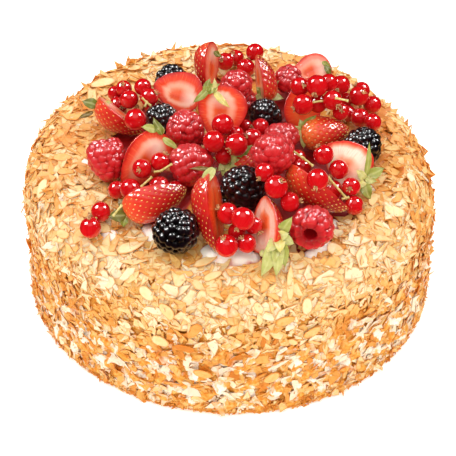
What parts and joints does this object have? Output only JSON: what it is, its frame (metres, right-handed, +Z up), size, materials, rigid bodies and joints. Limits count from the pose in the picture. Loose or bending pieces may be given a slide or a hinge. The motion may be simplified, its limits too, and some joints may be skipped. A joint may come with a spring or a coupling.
{
  "type": "berry cream cake",
  "caption": "Round cream cake coated in toasted almond flakes, under a heap of strawberries, raspberries, brambles and red currants.",
  "frame": {"origin": "centre of the flat base, on the surface the cake stands on", "axes": "+Z up; the front of the cake, nearest the camera in the picture, faces -Y, and +X is to the right there"},
  "size_m": [0.2006, 0.2004, 0.1137],
  "materials": {
    "almond_coat": "matte, toasted almond flakes on cream",
    "strawberry": "moist satin skin and cut flesh",
    "raspberry": "soft satin",
    "bramble": "glossy, near black",
    "currant": "glossy, translucent red"
  },
  "bodies": {
    "root": {"bramble_back_left": "bramble", "bramble_centre": "bramble", "bramble_front_left": "bramble", "bramble_mid_left": "bramble", "bramble_right": "bramble", "bramble_top": "bramble", "cake": "almond_coat", "currant_left_low": "currant", "currant_right_low": "currant", "currant_right_mid_c": "currant", "currants_back_a": "currant", "currants_back_b": "currant", "currants_centre_a": "currant", "currants_centre_b": "currant", "currants_centre_c": "currant", "currants_far_right": "currant", "currants_front_a": "currant", "currants_front_b": "currant", "currants_front_c": "currant", "currants_left_a": "currant", "currants_left_b": "currant", "currants_left_pair": "currant", "currants_mid_left_a": "currant", "currants_mid_left_b": "currant", "currants_mid_left_c": "currant", "currants_right_a": "currant", "currants_right_b": "currant", "currants_right_c": "currant", "currants_right_d": "currant", "currants_right_mid_a": "currant", "currants_right_mid_b": "currant", "raspberry_back_right": "raspberry", "raspberry_front_right": "raspberry", "raspberry_left": "raspberry", "raspberry_mid": "raspberry", "raspberry_mid_left": "raspberry", "raspberry_right": "raspberry", "raspberry_right_rear": "raspberry", "raspberry_top": "raspberry", "raspberry_top_low": "raspberry", "strawberry_back_left": "strawberry", "strawberry_back_right": "strawberry", "strawberry_centre": "strawberry", "strawberry_front": "strawberry", "strawberry_front_right": "strawberry", "strawberry_left": "strawberry", "strawberry_left_low": "strawberry", "strawberry_left_top": "strawberry", "strawberry_mid_left": "strawberry", "strawberry_right_flank": "strawberry", "strawberry_right_pale": "strawberry", "strawberry_right_wedge": "strawberry", "strawberry_right_whole": "strawberry", "strawberry_top": "strawberry", "strawberry_top_right": "strawberry"}
  },
  "joints": []
}
